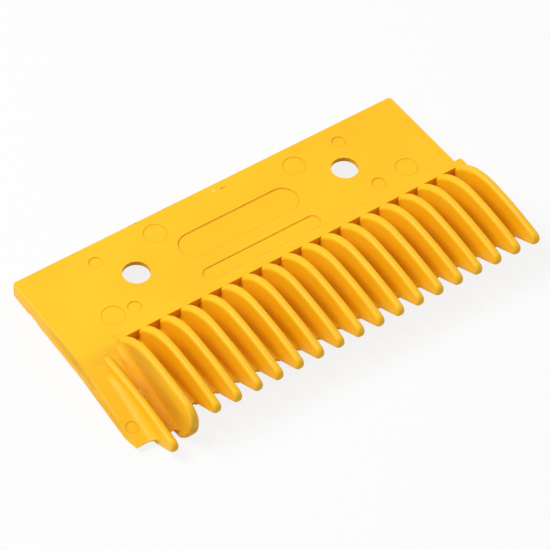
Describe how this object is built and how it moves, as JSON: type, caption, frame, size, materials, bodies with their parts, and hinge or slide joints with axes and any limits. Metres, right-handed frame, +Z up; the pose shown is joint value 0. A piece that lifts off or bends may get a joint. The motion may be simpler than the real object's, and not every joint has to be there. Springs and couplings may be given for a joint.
{
  "type": "escalator comb plate",
  "caption": "Moulded plastic comb end piece of an escalator landing: drafted teeth in front of a wedge-shaped fixing plate.",
  "frame": {"origin": "on the seating face, midway between the two screw holes", "axes": "+X along the comb, +Y to the back of the plate, teeth towards -Y, +Z up from the seating face"},
  "size_m": [0.1765, 0.0925, 0.0212],
  "materials": {
    "yellow_plastic": "satin moulded"
  },
  "bodies": {
    "root": {"comb_plate": "yellow_plastic"}
  },
  "joints": []
}
